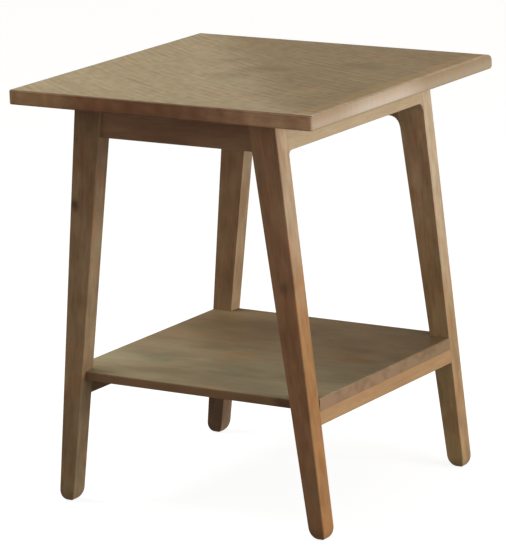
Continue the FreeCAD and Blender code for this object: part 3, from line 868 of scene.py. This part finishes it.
# Painted shadow in the corners where the shelf meets the front legs.
SHELF_CORNERS = ((-0.172, -0.186, 0.170), (0.142, -0.186, 0.170))
SHELF_CORNER_REACH = (0.020, 0.020, 0.016)
SHELF_CORNER_SHADOW = (0.58, 0.56, 0.56, 1)
SHELF_END_FRONT = (0.296, 0.186, 0.110, 1)
SHELF_END_BACK = (0.250, 0.168, 0.095, 1)
SHELF_END_DRIFT = (-0.10, 0.15)
SHELF_SPOT_NOISE = 45.0
SHELF_SPOT_BORDER = (0.42, 0.62)
SHELF_SPOT_CHANGE = (0.80, 0.78, 0.79, 1)


def shelf_front_tone(tree):
    """The front edge of the shelf, with painted shadow in the corners by the legs."""
    tone = SHELF_FRONT_TONE
    for corner in SHELF_CORNERS:
        tone = mark(tree, tone, corner, SHELF_CORNER_REACH, SHELF_CORNER_SHADOW)
    return tone


def shelf_end_tone(tree):
    """The end grain on the two sides of the shelf."""
    depth = measure(tree, "Y")
    tone = blend(tree, fade(tree, depth, *SHELF_END_DRIFT), SHELF_END_FRONT, SHELF_END_BACK)
    spots = noise(tree, table_point(tree), SHELF_SPOT_NOISE, detail=4.0)
    spotted = fade(tree, spots, *SHELF_SPOT_BORDER)
    return blend(tree, spotted, tone, SHELF_SPOT_CHANGE, "MULTIPLY")


# %% [markdown]
# The boards of the shelf share a seed too, for the same reason as those of the top. Their grain is
# straight and their figure blotchy.

# %% Shelf boards
SHELF_CLOUDS = (10, 20)
SHELF_CONTRAST = 0.8
SHELF_PATCHES = 0.35


def shelf_wood(node, seed):
    """Oiled wood for one board of the shelf."""
    material, tree = new_tree(node + "_wood")
    place = grain_space(tree, ALONG_X, ALONG_Y, seed)
    figure = wood_figure(tree, place, SHELF_CLOUDS)
    tone = facing(tree, shelf_front_tone(tree), shelf_end_tone(tree), shelf_up_tone(tree))
    contrast = faint_on_ends(tree, SHELF_CONTRAST)
    colour = stain(tree, place, figure, tone, contrast, SHELF_PATCHES, BLOTCHY_FIGURE)
    oiled(tree, colour, figure, place)
    wear(node, material)


for node in sorted(name for name in nodes if name.startswith("shelf_board")):
    shelf_wood(node, 31)

# %% [markdown]
# What nobody sees was never stained: the splines in the glue joints, the corner blocks and the
# buttons that hold the top down are raw, pale wood with a drier look. One material could serve
# them all, but grain has a direction. It runs along the length of each piece, which for a corner
# block is across the corner and for a spline is along the joint.

# %% Inner wood
RAW_TONE = (0.520, 0.390, 0.250, 1)
RAW_CLOUDS = (5, 30)
RAW_CONTRAST = 0.7
RAW_PATCHES = 0.2
RAW_DRYNESS = 0.82
RISING_CORNERS = ("corner_block_front_left", "corner_block_back_right")


def raw_wood(node, along, across, seed):
    """Raw wood for one hidden piece."""
    material, tree = new_tree(node + "_wood")
    place = grain_space(tree, along, across, seed)
    figure = wood_figure(tree, place, RAW_CLOUDS)
    colour = stain(tree, place, figure, RAW_TONE, RAW_CONTRAST, RAW_PATCHES)
    oiled(tree, colour, figure, place, RAW_DRYNESS)
    wear(node, material)


def longer_way(node):
    """The level direction in which a piece is longer."""
    low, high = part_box(node)
    reach = high - low
    return ALONG_X if reach.x > reach.y else ALONG_Y


for seed, node in enumerate(("top_splines", "shelf_splines"), 41):
    raw_wood(node, ALONG_X, ALONG_Y, seed)
corner_blocks = sorted(name for name in nodes if name.startswith("corner_block"))
for seed, node in enumerate(corner_blocks, 51):
    slant = -1 if node in RISING_CORNERS else 1
    raw_wood(node, (1, slant, 0), UPRIGHT, seed)
buttons = sorted(name for name in nodes if name.startswith("top_button_") and "screws" not in name)
for seed, node in enumerate(buttons, 61):
    raw_wood(node, longer_way(node), UPRIGHT, seed)

# %% [markdown]
# The screws are plain steel. A metal has its colour in its reflection, so metallic is 1 and the
# tone is pale grey. With one roughness the heads would look like mirrors or like plastic, so a fine
# noise changes it from place to place, and dull spots stand for handling.

# %% Screws
STEEL_BRIGHT = (0.58, 0.57, 0.55, 1)
STEEL_DULL = (0.36, 0.35, 0.33, 1)
STEEL_SPOT_NOISE = 600.0
STEEL_SPOT_BORDER = (0.40, 0.65)
STEEL_RUB_NOISE = 2500.0
STEEL_RUB_RISE = (0.20, 0.80)
STEEL_SMOOTHEST = 0.26
STEEL_ROUGHEST = 0.48
STEEL_BUMP = {"Strength": 0.3, "Distance": 0.00005}


def steel(node):
    """Handled steel for one set of screws."""
    material, tree = new_tree(node + "_steel")
    spots = noise(tree, table_point(tree), STEEL_SPOT_NOISE, detail=3.0)
    rubs = noise(tree, table_point(tree), STEEL_RUB_NOISE)
    dull = fade(tree, spots, *STEEL_SPOT_BORDER)
    finish = put(tree, "BsdfPrincipled", {
        "Base Color": blend(tree, dull, STEEL_BRIGHT, STEEL_DULL),
        "Metallic": 1.0,
        "Roughness": fade(tree, rubs, *STEEL_RUB_RISE, STEEL_SMOOTHEST, STEEL_ROUGHEST),
        "Normal": put(tree, "Bump", {**STEEL_BUMP, "Height": rubs}).outputs[0],
    })
    put(tree, "OutputMaterial", {"Surface": finish.outputs[0]})
    wear(node, material)


for node in ("top_button_screws", "shelf_screws"):
    steel(node)

# %% [markdown]
# The finishes add no shape, so the dressed table has to be exactly as large as the bare one. The
# last cell sets the view transform to Standard.

# %% Finish
scene = bpy.context.scene
scene.view_settings.view_transform = "Standard"
